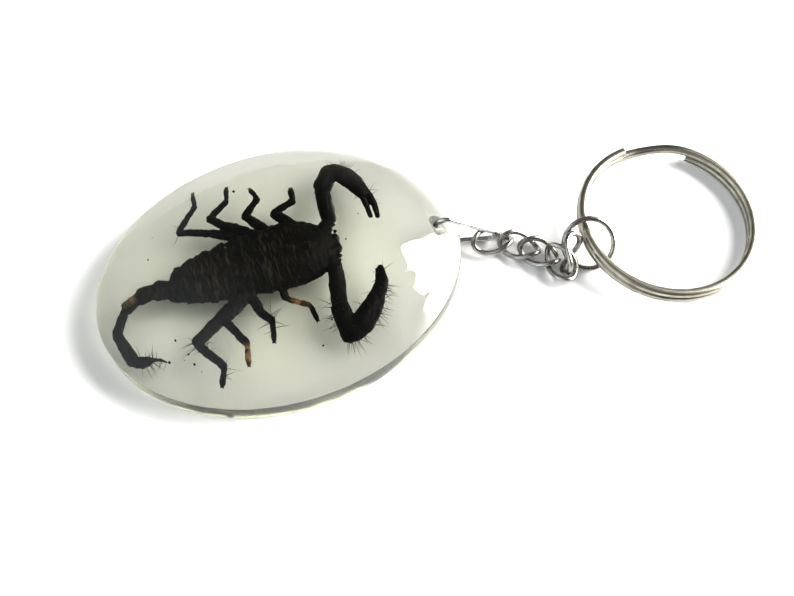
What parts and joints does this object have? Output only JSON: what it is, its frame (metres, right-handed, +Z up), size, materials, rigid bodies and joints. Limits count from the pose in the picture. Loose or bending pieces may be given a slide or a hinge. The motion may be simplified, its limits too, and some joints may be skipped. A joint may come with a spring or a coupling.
{
  "type": "scorpion resin keychain",
  "caption": "Keychain with a scorpion cast in a clear domed resin oval, a short curb chain, a jump ring and a split ring for keys.",
  "frame": {"origin": "middle of the oval's flat underside", "axes": "+X along the oval to its hole end, +Z up from the table, +Y across the oval"},
  "size_m": [0.1082, 0.048, 0.0121],
  "materials": {
    "clear_resin": "polished clear casting resin",
    "dried_specimen": "dark dry cuticle, satin",
    "nickel_wire": "bright nickel plate",
    "worn_nickel": "nickel plate, a little worn"
  },
  "bodies": {
    "root": {"resin_base": "clear_resin", "resin_dome": "clear_resin", "scorpion": "dried_specimen"},
    "hole_ring": {"hole_ring": "nickel_wire"},
    "chain_link_1": {"chain_link_1": "nickel_wire"},
    "chain_link_2": {"chain_link_2": "nickel_wire"},
    "chain_link_3": {"chain_link_3": "nickel_wire"},
    "chain_link_4": {"chain_link_4": "nickel_wire"},
    "chain_link_5": {"chain_link_5": "nickel_wire"},
    "jump_ring": {"jump_ring": "nickel_wire"},
    "split_ring": {"split_ring": "worn_nickel"}
  },
  "joints": [
    {"name": "hole_ring_swing", "type": "hinge", "parent": "root", "child": "hole_ring", "pos_m": [0.026, -0.001, 0.004], "axis": [0, 0, 1], "range_deg": [-25, 25]},
    {"name": "link_1_swing", "type": "hinge", "parent": "hole_ring", "child": "chain_link_1", "pos_m": [0.0349, -0.0037, 0.0017], "axis": [0, 0, 1], "range_deg": [-15, 15]},
    {"name": "link_2_swing", "type": "hinge", "parent": "chain_link_1", "child": "chain_link_2", "pos_m": [0.0372, -0.0061, 0.0016], "axis": [0, 0, 1], "range_deg": [-14, 10]},
    {"name": "link_3_swing", "type": "hinge", "parent": "chain_link_2", "child": "chain_link_3", "pos_m": [0.0409, -0.0074, 0.0016], "axis": [0, 0, 1], "range_deg": [-14, 14]},
    {"name": "link_4_swing", "type": "hinge", "parent": "chain_link_3", "child": "chain_link_4", "pos_m": [0.0429, -0.0104, 0.0018], "axis": [0, 0, 1], "range_deg": [-8, 14]},
    {"name": "link_5_swing", "type": "hinge", "parent": "chain_link_4", "child": "chain_link_5", "pos_m": [0.0447, -0.0126, 0.002], "axis": [0, 0, 1], "range_deg": [-12, 10]},
    {"name": "jump_ring_swing", "type": "hinge", "parent": "chain_link_5", "child": "jump_ring", "pos_m": [0.0463, -0.0106, 0.0029], "axis": [0, 0, 1], "range_deg": [-10, 12]},
    {"name": "split_ring_swing", "type": "hinge", "parent": "jump_ring", "child": "split_ring", "pos_m": [0.051, -0.0103, 0.0025], "axis": [0, 0, 1], "range_deg": [-14, 12]}
  ]
}
